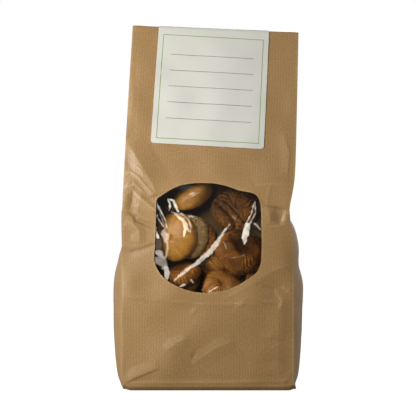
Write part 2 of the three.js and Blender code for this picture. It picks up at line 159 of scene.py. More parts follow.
# Outline of the cut window, across and up, clockwise from its upper left corner
WINDOW_OUTLINE = (
    (-41.7, 156.2), (-36.3, 160.6), (-30.1, 164.6), (-23.9, 167.4), (-17.6, 168.8), (-10.2, 169.7),
    (-2.7, 169.8), (4.8, 169.5), (12.3, 168.0), (19.7, 165.8), (24.7, 164.0), (29.7, 162.9),
    (34.6, 162.1), (38.4, 160.6), (40.8, 157.8), (42.4, 153.4), (43.1, 146.0), (43.2, 136.7),
    (43.4, 124.3), (43.4, 115.0), (43.1, 106.9), (42.0, 101.9), (39.5, 97.3), (35.2, 93.6),
    (30.8, 90.8), (25.8, 87.7), (20.9, 85.3), (13.4, 82.8), (6.0, 81.4), (-1.4, 80.8),
    (-8.9, 81.3), (-16.3, 82.9), (-21.3, 84.7), (-27.5, 87.4), (-32.5, 90.5), (-37.4, 94.8),
    (-41.2, 100.1), (-43.0, 104.4), (-43.7, 109.4), (-43.2, 118.1), (-42.9, 124.3), (-42.4, 136.7),
    (-42.1, 146.0),
)
WINDOW_MIDDLE = 125.3
NEAR_WINDOW = (48.0, 50.0)  # half width and height of the front round the window
CUTTER_DEEP = (-60.0, 50.0)  # start and length of the block that cuts the window

# Window film: its patch, and its sharp creases with their painted highlights as (how bright, points across,
# up and wide)
FILM_ACROSS = (-52.0, 52.0)
FILM_UP = (74.0, 177.0)
FILM_GRID = 178
FILM_SEEDS = (3, 8, 9)  # of its waves, its ragged creases and their shine
FILM_GAP = 0.35
FILM_LIFT = 0.15
FILM_FREE = (43.0, 44.0)  # half width and height of the film that is clear of its glued edge
FILM_SHINE = 0.035  # share of gloss where the film is seen square on
GLINT_SHARE = 0.11
# The crease gloss faces this one fixed way, whatever the film's shape, so its highlights are painted.
CREASE_FACING = (-0.39, -0.90, 0.19)  # way that the flats of the creases face, into the light
FILM_CREASES = (
    (0.58, ((17.8, 136.4, 0.3), (13.6, 131.6, 1.5), (9.9, 125.9, 2.2), (6.4, 120.1, 4.2), (1.4, 113.9, 4.0),
            (-4.7, 108.9, 3.6), (-8.9, 104.8, 3.0), (-13.5, 102.3, 2.0), (-17.7, 98.9, 2.8),
            (-22.6, 95, 2.2), (-27.5, 90.8, 0.4))),
    (0.4, ((-15.2, 160.4, 0.5), (-12.2, 161.5, 1.3), (-9.4, 162.5, 0.4))),
    (0.35, ((-14, 158.8, 0.4), (-11, 160.1, 1.0), (-7.8, 162, 0.4))),
    (0.55, ((38.2, 154.6, 0.6), (36.7, 150.8, 0.8), (35.2, 144.9, 0.9), (32.3, 139.5, 0.9),
            (29.9, 135, 1.2))),
    (0.5, ((38.2, 154.6, 0.6), (38.8, 146, 0.7), (36.4, 141.3, 0.8), (33.5, 136, 1.4))),
    (0.85, ((32.2, 135.8, 3.4), (30.9, 130.4, 5.4), (29.6, 125.4, 4.6), (29.6, 120.6, 1.2))),
    (0.75, ((-32.5, 156.7, 1.0), (-30.8, 152.6, 1.4), (-31.4, 147.8, 1.0))),
    (0.8, ((-30.8, 156.7, 0.9), (-27.8, 155.3, 1.6), (-26.6, 151.4, 2.2), (-24, 146.6, 1.0))),
    (0.5, ((-29.6, 146.6, 0.5), (-25.4, 144.9, 0.8), (-20.7, 144.3, 1.0))),
    (0.45, ((-15.9, 143.1, 0.8), (-11.7, 142.5, 1.0))),
    (0.6, ((-42, 153.8, 0.6), (-39.7, 149.6, 0.8), (-37.3, 144.9, 0.8), (-34.3, 138.9, 0.8),
           (-33.5, 133.6, 0.9))),
    (0.55, ((-42, 144.9, 0.6), (-39.7, 139.5, 0.8), (-36.7, 135.3, 0.8), (-34.3, 132.7, 0.8))),
    (0.3, ((-41.8, 150.8, 0.4), (-38.5, 143.7, 0.5), (-35.5, 136.5, 0.4))),
    (0.6, ((-27, 144.6, 0.6), (-21, 141.5, 1.3), (-17.3, 136, 1.7), (-15.8, 131, 0.8))),
    (0.78, ((-25, 143, 0.4), (-20.3, 139, 1.0), (-18.3, 133.5, 2.6), (-19.5, 127, 1.4))),
    (0.5, ((-22, 145.4, 0.4), (-16, 140.6, 0.9), (-13.8, 135, 0.8), (-14.3, 130, 0.5))),
    (0.8, ((-42.4, 129.6, 1.4), (-40.8, 126.6, 2.4), (-40.2, 125.2, 1.0))),
    (0.42, ((-35.2, 132.5, 1.2), (-36.2, 128.7, 4.4), (-34.2, 126.8, 5.6), (-34, 122.9, 2.8))),
    (0.4, ((-33.1, 122.3, 1.2), (-32.8, 116.3, 1.5), (-34, 110.4, 1.3), (-35.5, 108.6, 0.8))),
    (0.06, ((-42, 127, 3.0), (-40.3, 121, 6.0), (-40.5, 116, 5.0))),
    (0.4, ((-42, 113.9, 3.0), (-38.8, 112.6, 5.0), (-37, 110, 2.0))),
    (0.24, ((-43, 107.5, 5.0), (-37.9, 106.3, 8.0), (-35.5, 103, 5.5), (-36.7, 100.8, 2.0))),
    (0.55, ((-34.3, 100.9, 3.6), (-33.1, 97.3, 4.6), (-33.5, 93.1, 3.2), (-33.9, 91, 1.2))),
    (0.6, ((-22.7, 86, 1.0), (-20.4, 87, 1.6), (-18.3, 88, 0.8))),
    (0.5, ((-13.8, 91.3, 1.2), (-12.1, 89.2, 1.0))),
    (0.6, ((0.6, 81.5, 0.6), (4.3, 84, 1.1), (8.5, 85.7, 0.6))),
    (0.45, ((37.6, 137.1, 0.8), (40, 135.3, 1.2), (42.4, 131.8, 0.8))),
    (0.1, ((-11.1, 130.6, 0.3), (4.3, 140.1, 0.3))),
    (0.25, ((19.5, 143, 0.4), (21.6, 141.3, 1.0), (22.8, 139, 0.4))),
    (0.2, ((11.5, 124.6, 0.4), (14, 120, 0.7), (15, 116.3, 0.4))),
    (0.16, ((17.4, 109.2, 0.3), (24, 109.8, 0.5), (29.9, 111.5, 0.3))),
)

# Label
LABEL_GRID = (60, 96)
LABEL_CORNER = 2.5
LABEL_GAP = 0.35
LABEL_SPARE = 0.01  # metres of path beyond each end of the label
BORDER_INSET = 4.5
BORDER_LINE = 0.55
RULE_LINE = 0.4
RULE_PITCH = 7.0
RULE_INSET = 7.0

# Figs
FLAT_SIDE = 0.08
CROWN = 0.8
STEM_RISE = 1.8
CAD_EYE_DEPTH = 2.6
LUMP_SINK = 0.6  # share by which the lumps sink the skin, so that it stays within its solid
POLE_BARE = 0.06  # share of the radius at each pole that has no pleats
SHOWN_FACES = (224, 112)
HIDDEN_FACES = (64, 32)

# How each fig behind the window looks: its gain of tone and painted light, then pleat count, how plainly
# their painted-shade lines show, pleat depth, fine wrinkles, crumples and lumps (millimetres), eye radius
# and depth, twist of the pleats
LOOK_PARTS = ("shade", "pleats", "lines", "depth", "fine", "crumple", "lumps", "eye", "twist")
FIG_TABLE = {
    "fig_01": (0.64, 44, 0.25, 0.12, 0.06, 0.0, 0.5, (1.9, 2.4), 0.2),
    "fig_02": (2.0, 26, 0.4, 0.3, 0.3, 0.6, 0.8, (4, 2), 0.3),
    "fig_03": (1.9, 30, 0.9, 1.0, 0.3, 0.2, 0.5, (5, 2.6), 0.2),
    "fig_04": (0.56, 40, 0.4, 0.2, 0.08, 0.1, 0.6, (5, 2), 0.2),
    "fig_05": (0.78, 48, 1.05, 0.8, 0.45, 0.7, 0.9, (4, 1.5), 0.3),
    "fig_06": (0.95, 44, 0.8, 0.6, 0.3, 0.3, 0.8, (5, 2), 0.3),
    "fig_07": (0.78, 56, 1.15, 1.0, 0.4, 0.4, 0.8, (3, 0.5), 0.2),
    "fig_08": (0.8, 36, 0.7, 0.8, 0.25, 0.3, 0.8, (4.5, 2.6), 0.2),
    "fig_09": (1.0, 36, 0.6, 0.7, 0.2, 0.25, 0.7, (5, 2.6), 0.2),
    "fig_10": (1.2, 26, 0.7, 0.7, 0.2, 0.2, 0.6, (5, 2.6), 0.3),
}
HIDDEN_LOOK = dict(zip(LOOK_PARTS, (1.0, 24, 1.0, 0.9, 0.3, 0.3, 0.8, (5, 2.6), 0.3)))
# Dents (across, up, radius, depth) as shares of the radius but depth in millimetres, folds (angle,
# offset, width, depth) likewise, and a painted ramp of light and shade on the skin (way across and up, then
# its ends)
FIG_EXTRAS = {
    "fig_05": {
        "folds": ((2.4, 0.22, 0.06, 1.6), (2.2, 0.55, 0.1, 2.0), (2.7, -0.45, 0.05, 0.6)),
        "painted_shading_ramp": (0.75, -0.66, 0.22, 1.35),
    },
    "fig_07": {
        "dents": ((0.2, 0.14, 0.46, 8.0), (-0.3, 0.34, 0.2, 2.0)),
        "folds": ((0.2, 0.3, 0.08, 1.6),),
        "painted_shading_ramp": (-0.6, -0.8, 0.8, 1.3),
    },
}
SKIN_LOOKS = {
    "golden": dict(gloss=0.42, shine=0.35, coat=0.06, streaks=0.5),
    "amber": dict(gloss=0.46, shine=0.25, coat=0.05, streaks=0.9),
    "brown": dict(gloss=0.45, shine=0.1, coat=0.0, streaks=0.9),
    "olive": dict(gloss=0.6, shine=0.2, coat=0.0, streaks=0.7),
}
SHOWN_SEED = 100
HIDDEN_SEED = 200

# Texture sizes
RIB_PITCH = 0.00233
FIBRE_SIZE = (0.0011, 0.0018)
MOTTLE_SIZE = 0.030
WAVE_PERIOD = math.pi / 10  # period of a wave texture at a scale of one
SKIN_GRAIN = 0.0009
SKIN_MOTTLE = 0.009
STREAK_WIDTH = 0.0018
# Cap on the skin colour after the gains of tone and painted light.
SKIN_CAP = 0.85  # palest skin that the shades may give
LABEL_MOTTLE = 0.02
LABEL_TOOTH = 0.0012

# Studio, in metres
FLOOR_RADIUS = 0.6
SOFTBOXES = {  # place, width and height
    "key": ((-0.42, -0.42, 0.3), 0.26, 0.46),
    "front": ((0.12, -0.65, 0.85), 0.7, 0.5),
    "fill": ((0.5, -0.8, 0.35), 0.35, 0.35),
    "side": ((0.8, 0.12, 0.35), 0.3, 0.3),
    "back": ((0.2, 0.88, 0.5), 0.35, 0.35),
}
LIGHT_AIM = Vector((0, 0, 0.14))
SNOOT_PLACE = (-0.06, -0.85, 0.24)
WINDOW_AIM = Vector((0, -0.02, 0.125))
SNOOT_ANGLE = math.radians(6.4)
SENSOR = 36.0  # width of the camera's sensor, in millimetres


def linear(hex_colour):
    """An sRGB hex colour as linear red, green and blue."""
    parts = [int(hex_colour[i : i + 2], 16) / 255 for i in (0, 2, 4)]
    return tuple(c / 12.92 if c <= 0.04045 else ((c + 0.055) / 1.055) ** 2.4 for c in parts)


def length(name, description, default):
    return FloatProperty(name=name, description=description, default=default, unit="LENGTH", precision=4)


def angle(name, description, degrees):
    return FloatProperty(name=name, description=description, default=math.radians(degrees), subtype="ANGLE")


def power(name, description, default):
    return FloatProperty(name=name, description=description, default=default, unit="POWER")


def colour(name, description, hex_colour):
    return FloatVectorProperty(
        name=name, description=description, default=linear(hex_colour), subtype="COLOR", min=0, max=1
    )


class BagSizes(bpy.types.PropertyGroup):
    """Sizes of the bag and its label."""

    width: length("Panel width", "Front and back panels, crease to crease", 0.140)
    depth: length("Side depth", "Side panels, crease to crease", 0.075)
    height: length("Height", "Base to the folded top", 0.300)
    paper: length("Paper", "Thickness of the paper", 0.00035)
    swell: length("Front swell", "How far the figs push the front and back out", 0.005)
    side_swell: length("Side swell", "How far the figs push the sides out", 0.0096)
    flap: length("Flap", "How far the mouth hangs down behind", 0.048)
    lean: angle("Lean", "Turn of the upper bag to the right", 2.4)
    film: length("Film", "Thickness of the window film", 0.00006)
    label_width: length("Label width", "Width of the label", 0.093)
    label_low: length("Label low", "Height of the label's lower edge on the front", 0.200)
    label_back: length("Label back", "Height of the label's lower edge on the flap", 0.262)
    label_shift: length("Label shift", "Label's distance from the middle of the front", -0.003)
    label_ply: length("Label ply", "Thickness of the label", 0.0002)
    label_turn: angle("Label turn", "How far the label sits askew", -0.9)


class BagColours(bpy.types.PropertyGroup):
    """Colours of the bag, its label and the figs."""

    kraft: colour("Kraft", "Face of the paper", "af8b5d")
    # Halved, the dark kraft also paints the shade in the crease valleys.
    kraft_dark: colour("Kraft dark", "Denser patches and the hollows of the ribs", "93703f")
    kraft_worn: colour("Kraft worn", "Crests of the creases", "cdb084")
    label: colour("Label", "Face of the label", "d6d4c9")
    label_line: colour("Label line", "Border of the label", "6f9a3c")
    label_rule: colour("Label rule", "Write-on lines of the label", "5a615c")
    golden: colour("Golden fig", "Skin of the palest figs", "c88a36")
    amber: colour("Amber fig", "Skin of the amber figs", "a36a2c")
    brown: colour("Brown fig", "Skin of the darkest figs", "8a5722")
    olive: colour("Olive fig", "Skin of the greenish figs", "8a7048")
    floor: colour("Floor", "Studio floor", "f4f4f2")


class StudioSizes(bpy.types.PropertyGroup):
    """Camera and lights."""

    distance: length("Camera distance", "Camera to the middle of the bag", 0.900)
    aim: length("Aim height", "Height that the camera looks at", 0.1486)
    elevation: angle("Elevation", "Camera above the horizon", 1.41)
    lens: FloatProperty(name="Lens", description="Focal length in millimetres", default=91.8)
    key: power("Key light", "Tall softbox at the left", 4.6)
    front: power("Front light", "Weak softbox over the camera", 0.5)
    fill: power("Fill light", "Softbox at the right of the camera", 0.25)
    side: power("Side light", "Softbox at the right of the bag", 1.6)
    back: power("Back light", "Softbox behind, across the back", 4.5)
    window: power("Window light", "Narrow spot into the window", 7.0)
    room: FloatProperty(name="Room light", description="Strength of the light from in front", default=0.14)
    glow: FloatProperty(name="Glow behind", description="Strength of the light from behind", default=0.7)


# Shape of the bag


def clamp(value):
    return np.clip(value, 0, 1)


def hump(away, width):
    """One at no distance, falling smoothly to nought beyond a width."""
    return np.exp(-((away / width) ** 2))


def half_depth(bag, z):
    """Half the distance between the front and back creases at a height."""
    low, top = TAPER_START * MM, bag.height - FOLD_RISE * MM
    share = clamp((z - low) / (top - low)) ** TAPER_CURVE
    return bag.depth / 2 + (MOUTH_STACK * MM / 2 - bag.depth / 2) * share


def front_swell(bag, z):
    return bag.swell * np.sin(np.pi * clamp(z / (SWELL_END * MM)))


def side_swell(bag, z, side):
    end, curve = side
    return bag.side_swell * np.maximum(np.sin(np.pi * clamp(z / (end * MM))), 0) ** curve


def side_fold(bag, z):
    """How far a side's middle folds in where the front and back lean together."""
    return np.sqrt(np.maximum((bag.depth / 2) ** 2 - half_depth(bag, z) ** 2, 0))


def leaned(bag, x, y, z):
    """Pinches the right crease and bends the upper bag over to the right."""
    near = hump(z / MM - PINCH_HEIGHT, PINCH_SPREAD)
    x = x - PINCH * MM * near * (np.maximum(2 * x, 0) / bag.width) ** 2
    start, end = LEAN_START * MM, LEAN_END * MM
    share = clamp((z - start) / (end - start))
    angle = bag.lean * share
    shift = bag.lean * (end - start) * share**2 / 2 + np.maximum(z - end, 0) * math.sin(bag.lean)
    return np.stack([x * np.cos(angle) + shift, y, z - x * np.sin(angle)], axis=-1)


def from_polyline(across, up, points):
    """Signed distance from a line through points, and the share of its length at the nearest place."""
    line = np.array(points, float)
    lengths = np.linalg.norm(np.diff(line, axis=0), axis=1)
    before = np.concatenate([[0], np.cumsum(lengths)])
    nearest = np.full(across.shape, 1e9)
    side = np.zeros(across.shape)
    share = np.zeros(across.shape)
    for start, end, run, gone in zip(line[:-1], line[1:], lengths, before):
        along = (end - start) / run
        px, pz = across - start[0], up - start[1]
        t = np.clip(px * along[0] + pz * along[1], 0, run)
        away = np.hypot(px - t * along[0], pz - t * along[1])
        closer = away < nearest
        nearest = np.where(closer, away, nearest)
        side = np.where(closer, along[0] * pz - along[1] * px, side)
        share = np.where(closer, (gone + t) / before[-1], share)
    return np.where(side < 0, -nearest, nearest), share


def creased(across, up, creases):
    """Height of flat-sided creases in millimetres, and how near a crest is, or a valley below nought that
    paints shade into the paper.
    """
    height = np.zeros(across.shape)
    crest = np.zeros(across.shape)
    for points, rise, below, above in creases:
        away, share = from_polyline(across, up, points)
        fade = clamp(np.sin(np.pi * share)) ** 0.4
        foot = np.where(away < 0, below, above)
        height += rise * fade * clamp(1 - np.hypot(away, 0.4) / foot)
        sharp = np.clip(rise, -1, 1) * min(4 / min(below, above), 1)
        mark = sharp * fade * hump(away, 0.7)
        crest = np.where(np.abs(mark) > np.abs(crest), mark, crest)
    return height, crest


def ripples(points, size, rng, count=7):
    """Smooth repeatable noise from about -1 to 1, with features about a size across."""
    total = np.zeros(len(points))
    for _ in range(count):
        direction = rng.normal(size=points.shape[1])
        direction *= 2 * np.pi / (np.linalg.norm(direction) * size * rng.uniform(1.4, 2.8))
        total += np.sin(points @ direction + rng.uniform(0, 2 * np.pi))
    return total / math.sqrt(count)


def loose_creases(rng, count, across, up, feet):
    """Short random creases over a panel, with flanks within a range of widths."""
    made = []
    for _ in range(count):
        middle = np.array([rng.uniform(*across), rng.uniform(*up)])
        angle = rng.uniform(0, np.pi)
        half = rng.uniform(6, 20) * np.array([math.cos(angle), math.sin(angle)])
        bow = rng.uniform(-3, 3) * np.array([-math.sin(angle), math.cos(angle)])
        points = (middle - half, middle + bow, middle + half)
        made.append((points, rng.uniform(-0.35, 0.35), rng.uniform(*feet), rng.uniform(*feet)))
    return made


def front_relief(across, up):
    """Creases and soft waves of the front in millimetres, and how near a crest is, below nought in a
    valley's painted shade.
    """
    shape = across.shape
    spots = np.stack([across.ravel(), up.ravel()], axis=1)
    rng = np.random.default_rng(FRONT_SEED)
    soft = 0.55 * ripples(spots, 42, rng) + 0.3 * ripples(spots, 16, rng)
    pressed = clamp(1 - spots[:, 1] / 185) ** 0.5
    soft += 0.5 * pressed * ripples(spots, 26, rng)
    loose = loose_creases(rng, *LOOSE_FRONT)
    height, crest = creased(across, up, (*FRONT_CREASES, *loose))
    return soft.reshape(shape) + height, crest


def relief_room(bag, z):
    """How much of its relief the sheet has, which ends where the mouth is pressed flat."""
    return clamp((half_depth(bag, z) / MM - RELIEF_START) / RELIEF_RANGE)


def edge_fade(share, reach):
    """Nought at a panel's edges, rising to one within a share of its half width."""
    return clamp((1 - np.abs(share)) / reach) ** 0.7


def mouth_paths(bag, turns, drops):
    """Outer (front) and inner (back) layers over the fold and down the flap, as Y and Z."""
    top = bag.height - FOLD_RISE * MM
    stack = MOUTH_STACK * MM / 2
    paths = []
    for near, gap, rise in ((-stack, FLAP_GAP + FLAP_PLY, FOLD_RISE), (stack, FLAP_GAP, INNER_RISE)):
        far = stack + gap * MM
        over = ((far + near) / 2 - (far - near) / 2 * np.cos(turns), top + rise * MM * np.sin(turns))
        paths.append(np.concatenate([over, (half_depth(bag, drops) + gap * MM, drops)], axis=1))
    return paths


# Working with meshes


def add_primitive(name, add, **settings):
    """Adds a primitive as the only selected object."""
    bpy.ops.object.select_all(action="DESELECT")
    add(**settings)
    piece = bpy.context.object
    piece.name = piece.data.name = name
    return piece


def add_grid(name, across, up):
    """Adds a flat square of one unit with so many faces across and up."""
    add = bpy.ops.mesh.primitive_grid_add
    return add_primitive(name, add, x_subdivisions=across, y_subdivisions=up, size=1)


def places_of(piece):
    places = np.empty(len(piece.data.vertices) * 3, np.float32)
    piece.data.vertices.foreach_get("co", places)
    return places.reshape(-1, 3).astype(float)


def set_places(piece, places):
    piece.data.vertices.foreach_set("co", places.astype(np.float32).ravel())
    piece.data.update()


def set_map(piece, name, spots):
    """Gives the piece a UV map from one place per vertex."""
    corners = np.empty(len(piece.data.loops), np.int32)
    piece.data.loops.foreach_get("vertex_index", corners)
    layer = piece.data.uv_layers[0]
    layer.name = name
    layer.data.foreach_set("uv", spots[corners].astype(np.float32).ravel())


def set_attribute(piece, name, values):
    """Gives the piece one number or one vector per vertex."""
    kind, part = ("FLOAT", "value") if values.ndim == 1 else ("FLOAT_VECTOR", "vector")
    made = piece.data.attributes.new(name, kind, "POINT")
    made.data.foreach_set(part, values.astype(np.float32).ravel())


def in_edit_mode(piece, *steps):
    """Runs operators on the whole piece in edit mode, each given as (operator, settings)."""
    bpy.context.view_layer.objects.active = piece
    bpy.ops.object.mode_set(mode="EDIT")
    bpy.ops.mesh.select_all(action="SELECT")
    for operator, settings in steps:
        operator(**settings)
    bpy.ops.object.mode_set(mode="OBJECT")


def modify(piece, kind, **settings):
    """Adds a modifier and applies it."""
    bpy.context.view_layer.objects.active = piece
    modifier = piece.modifiers.new(kind.title(), kind)
    for name, value in settings.items():
        setattr(modifier, name, value)
    bpy.ops.object.modifier_apply(modifier=modifier.name)


def look_at(thing, aim):
    thing.rotation_euler = (aim - thing.location).to_track_quat("-Z", "Y").to_euler()


def finish_piece(piece, material, slot, *nodes, angle=40):
    """Smooths a piece, paints it and puts it in the place of its solids."""
    bpy.ops.object.select_all(action="DESELECT")
    piece.select_set(True)
    bpy.context.view_layer.objects.active = piece
    bpy.ops.object.shade_smooth_by_angle(angle=math.radians(angle))
    piece.data.materials.clear()
    piece.data.materials.append(material)
    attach(piece, "root")
    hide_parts(*nodes)


# Materials. Inputs 6 and 7 of a mix and its output 2 are colours. A map range takes its value, then the
# low and high ends of the range it comes from and of the range it goes to.


def fill_inputs(node, inputs):
    """Links a socket, or sets a value, at inputs that are named, or counted from the first."""
    for name, value in inputs.items() if isinstance(inputs, dict) else enumerate(inputs):
        if isinstance(value, bpy.types.NodeSocket):
            node.id_data.links.new(value, node.inputs[name])
        else:
            node.inputs[name].default_value = value


def add_node(tree, kind, inputs=(), out=0, **settings):
    """Adds a shader node with its settings and links, and gives one of its outputs, or all for None."""
    made = tree.nodes.new("ShaderNode" + kind)
    for name, value in settings.items():
        setattr(made, name, value)
    fill_inputs(made, inputs)
    return made.outputs if out is None else made.outputs[out]


def new_material(name):
    """A material, the adder of its nodes and its shader."""
    material = bpy.data.materials.new(name)
    material.use_nodes = True
    tree = material.node_tree
    return material, partial(add_node, tree), tree.nodes["Principled BSDF"]


def kraft_material(colours):
    """Ribbed kraft paper: unbleached fibres pressed into fine upright ribs, satin, paler where creased,
    with painted shade in the crease valleys.
    """
    material, node, face = new_material("ribbed_kraft_paper")
    sheet = node("UVMap", uv_map="sheet")
    place = node("TexCoord", out="Object")
    wear = node("Attribute", out="Fac", attribute_name="wear")
    bands = {"Scale": WAVE_PERIOD / RIB_PITCH, "Distortion": 0.7, "Detail": 2.0, "Detail Scale": 0.3}
    ribs = node("TexWave", {"Vector": sheet, **bands}, "Fac")
    stretched = node("Mapping", {"Vector": sheet, "Scale": (1 / FIBRE_SIZE[0], 1 / FIBRE_SIZE[1], 1)})
    fibres = node("TexNoise", {"Vector": stretched, "Scale": 1.0, "Detail": 3.0, "Roughness": 0.6})
    mottle = node("TexNoise", {"Vector": place, "Scale": 1 / MOTTLE_SIZE, "Detail": 4.0, "Roughness": 0.6})
    grain = node("Math", (ribs, 0.14, fibres), operation="MULTIPLY_ADD")
    depth = node("MapRange", (grain, 0.34, 0.8, 0.0, 1.0))
    cloud = node("MapRange", (mottle, 0.3, 0.7, 0.35, 0.0))
    paper_marks = node("Math", (wear, fibres), operation="MULTIPLY", use_clamp=True)
    # Painted shade: where the map is below nought, the crease valleys darken towards half the dark kraft.
    pressed = node("Math", (wear, -0.6), operation="MULTIPLY", use_clamp=True)
    shadow = [0.5 * c for c in colours.kraft_dark]
    paint = (*colours.kraft_dark, 1)
    tints = (colours.kraft, colours.kraft_dark, colours.kraft_worn, shadow)
    for share, tint in zip((depth, cloud, paper_marks, pressed), tints):
        paint = node("Mix", {0: share, 6: paint, 7: (*tint, 1)}, 2, data_type="RGBA")
    bump = node("Bump", {"Strength": 0.35, "Distance": 0.00025, "Height": grain})
    fill_inputs(face, {"Base Color": paint, "Normal": bump, "Roughness": 0.45, "Specular IOR Level": 0.5})
    return material


def film_material():
    """Cast polypropylene film: clear and hard-glossed, seen only by its reflections and the painted
    highlights of its sharp creases.
    """
    material, node, face = new_material("clear_polypropylene_film")
    gloss = node("BsdfAnisotropic", {"Roughness": 0.06})
    clear = node("BsdfTransparent", {"Color": (0.995, 0.995, 0.99, 1)})
    edge = node("LayerWeight", {"Blend": 0.5}, "Facing")
    grazing = node("Math", (edge, 5.0), operation="POWER")
    share = node("Math", (grazing, 0.95, FILM_SHINE), operation="MULTIPLY_ADD")
    sheet = node("MixShader", (share, clear, gloss))
    crease = node("Attribute", out="Fac", attribute_name="crease")
    # Painted highlight: this gloss takes a fixed normal turned towards the key light, shining wherever the
    # crease map is.
    tilt = node("CombineXYZ", CREASE_FACING)
    glint = node("BsdfAnisotropic", {"Color": (1.0, 0.9, 0.77, 1), "Roughness": 0.42, "Normal": tilt})
    painted_glint_share = node("Math", (crease, GLINT_SHARE), operation="MULTIPLY")
    mixed = node("MixShader", (painted_glint_share, sheet, glint))
    tree = material.node_tree
    tree.nodes.remove(face)
    fill_inputs(tree.nodes["Material Output"], {"Surface": mixed})
    return material


def label_material(bag, colours):
    """Coated label paper: smooth and nearly white, with a printed border and ruled lines to write on."""
    material, node, face = new_material("coated_label_paper")
    sheet = node("UVMap", uv_map="sheet")
    place = node("TexCoord", out="Object")
    right, up, _ = node("SeparateXYZ", (sheet,), None)
    half = (bag.height - bag.label_low) / 2
    across = node("Math", (right,), operation="ABSOLUTE")
    off_side = node("Math", (across, bag.label_width / 2 - BORDER_INSET * MM), operation="SUBTRACT")
    from_middle = node("Math", (up, half), operation="SUBTRACT")
    rise = node("Math", (from_middle,), operation="ABSOLUTE")
    off_end = node("Math", (rise, half - BORDER_INSET * MM), operation="SUBTRACT")
    outside = node("Math", (off_side, off_end), operation="MAXIMUM")
    border = node("Math", (outside, 0.0, BORDER_LINE * MM / 2), operation="COMPARE")
    pitch = node("Math", (from_middle, RULE_PITCH * MM), operation="PINGPONG")
    ruled = node("Math", (pitch, RULE_LINE * MM / 2), operation="LESS_THAN")
    within = node("Math", (outside, -RULE_INSET * MM), operation="LESS_THAN")
    rules = node("Math", (ruled, within), operation="MULTIPLY")
    mottle = node("TexNoise", {"Vector": place, "Scale": 1 / LABEL_MOTTLE, "Detail": 3.0})
    paint = (*colours.label, 1)
    tints = ([0.94 * c for c in colours.label], colours.label_line, colours.label_rule)
    for share, tint in zip((mottle, border, rules), tints):
        paint = node("Mix", {0: share, 6: paint, 7: (*tint, 1)}, 2, data_type="RGBA")
    tooth = node("TexNoise", {"Vector": place, "Scale": 1 / LABEL_TOOTH, "Detail": 2.0})
    bump = node("Bump", {"Strength": 0.08, "Distance": 0.0001, "Height": tooth})
    fill_inputs(face, {"Base Color": paint, "Normal": bump, "Roughness": 0.42})
    return material


def fig_material(tone, skin, gloss, shine, coat, streaks):
    """Dried fig skin: leathery and a little waxy, streaked from eye to stem, with painted shade down its
    pleats and a gain for tone and painted light.
    """
    material, node, face = new_material(f"dried_fig_skin_{tone}")
    dark = [share * c for share, c in zip((0.34, 0.27, 0.24), skin)]
    pale = [min(share * c, 1) for share, c in zip((1.8, 1.85, 1.7), skin)]
    rib, shade = (node("Attribute", out="Fac", attribute_name=name) for name in ("rib", "shade"))
    run = node("Attribute", out="Vector", attribute_name="streak")
    place = node("TexCoord", out="Object")
    streak = node("TexNoise", {"Vector": run, "Scale": 1.0, "Detail": 3.0, "Roughness": 0.6})
    mottle = node("TexNoise", {"Vector": place, "Scale": 1 / SKIN_MOTTLE, "Detail": 5.0, "Roughness": 0.7})
    grain = node("TexNoise", {"Vector": place, "Scale": 1 / SKIN_GRAIN, "Detail": 2.0})
    lit = node("MapRange", (streak, 0.42, 0.66, 0.0, streaks))
    patch = node("MapRange", (mottle, 0.45, 0.72, 0.0, 0.6))
    # Painted shade down the pleat valleys, crumples and folds, plus the eye's own darker colour.
    valley = node("MapRange", (rib, 0.1, 0.8, 0.85, 0.0))
    paint = (*skin, 1)
    for share, tint in ((lit, pale), (patch, dark), (valley, dark)):
        paint = node("Mix", {0: share, 6: paint, 7: (*tint, 1)}, 2, data_type="RGBA")
    # The gain sets each fig's tone and paints light into figs that lie in shade.
    shaded = node("VectorMath", {0: paint, "Scale": shade}, operation="SCALE")
    capped = node("VectorMath", (shaded, (SKIN_CAP, SKIN_CAP, SKIN_CAP)), operation="MINIMUM")
    height = node("Math", (grain, 0.5, streak), operation="MULTIPLY_ADD")
    bump = node("Bump", {"Strength": 0.5, "Distance": 0.0005, "Height": height})
    rough = node("MapRange", (mottle, 0.0, 1.0, gloss - 0.08, gloss + 0.12))
    depth = {"Subsurface Weight": 0.05, "Subsurface Radius": (1.0, 0.45, 0.2), "Subsurface Scale": 0.002}
    wax = {"Specular IOR Level": shine, "Coat Weight": coat, "Coat Roughness": 0.2}
    fill_inputs(face, {"Base Color": capped, "Roughness": rough, "Normal": bump, **depth, **wax})
    return material


def stage_material(name, tint):
    """Matt white studio paper, lifted to a clean white for the camera alone."""
    material, node, face = new_material(name)
    seen = node("LightPath", out="Is Camera Ray")
    tints = {"Base Color": (*[0.18 * c for c in tint], 1), "Emission Color": (*tint, 1)}
    fill_inputs(face, {**tints, "Roughness": 0.9, "Emission Strength": seen})
    return material


# Figs


def fig_form(name):
    """Centre, axes as rows (across, up, eye), radius, half thickness and fuller side of a fig's solid."""
    solid = places_of(frame["nodes"][name])
    spots = np.unique(np.round(solid, 6), axis=0)
    spread = spots - spots.mean(axis=0)
    axis = np.linalg.eigh(spread.T @ spread)[1][:, 0]
    along = spread @ axis
    ring = np.linalg.norm(spread - np.outer(along, axis), axis=1)
    ends, sunk = [], []
    for way in (1, -1):
        pole = np.where(along * way > 0, ring, 1).argmin()
        ends.append(spots[pole])
        sunk.append((along * way).max() - along[pole] * way)
    eye, stem = ends if sunk[0] > sunk[1] else ends[::-1]
    axis = (eye - stem) / np.linalg.norm(eye - stem)
    half = (np.linalg.norm(eye - stem) + CAD_EYE_DEPTH * MM) / 2
    centre = stem + axis * half
    across = np.array([1.0, 0, 0]) if abs(axis[0]) < 0.9 else np.array([0, 0, 1.0])
    across -= axis * (across @ axis)
    across /= np.linalg.norm(across)
    axes = np.stack([across, np.cross(axis, across), axis])
    local = (spots - centre) @ axes.T
    reach = np.hypot(local[:, 0], local[:, 1])
    rim = local[reach > 0.7 * reach.max()].mean(axis=0)
    return centre, axes, reach.max(), half, math.atan2(rim[1], rim[0])


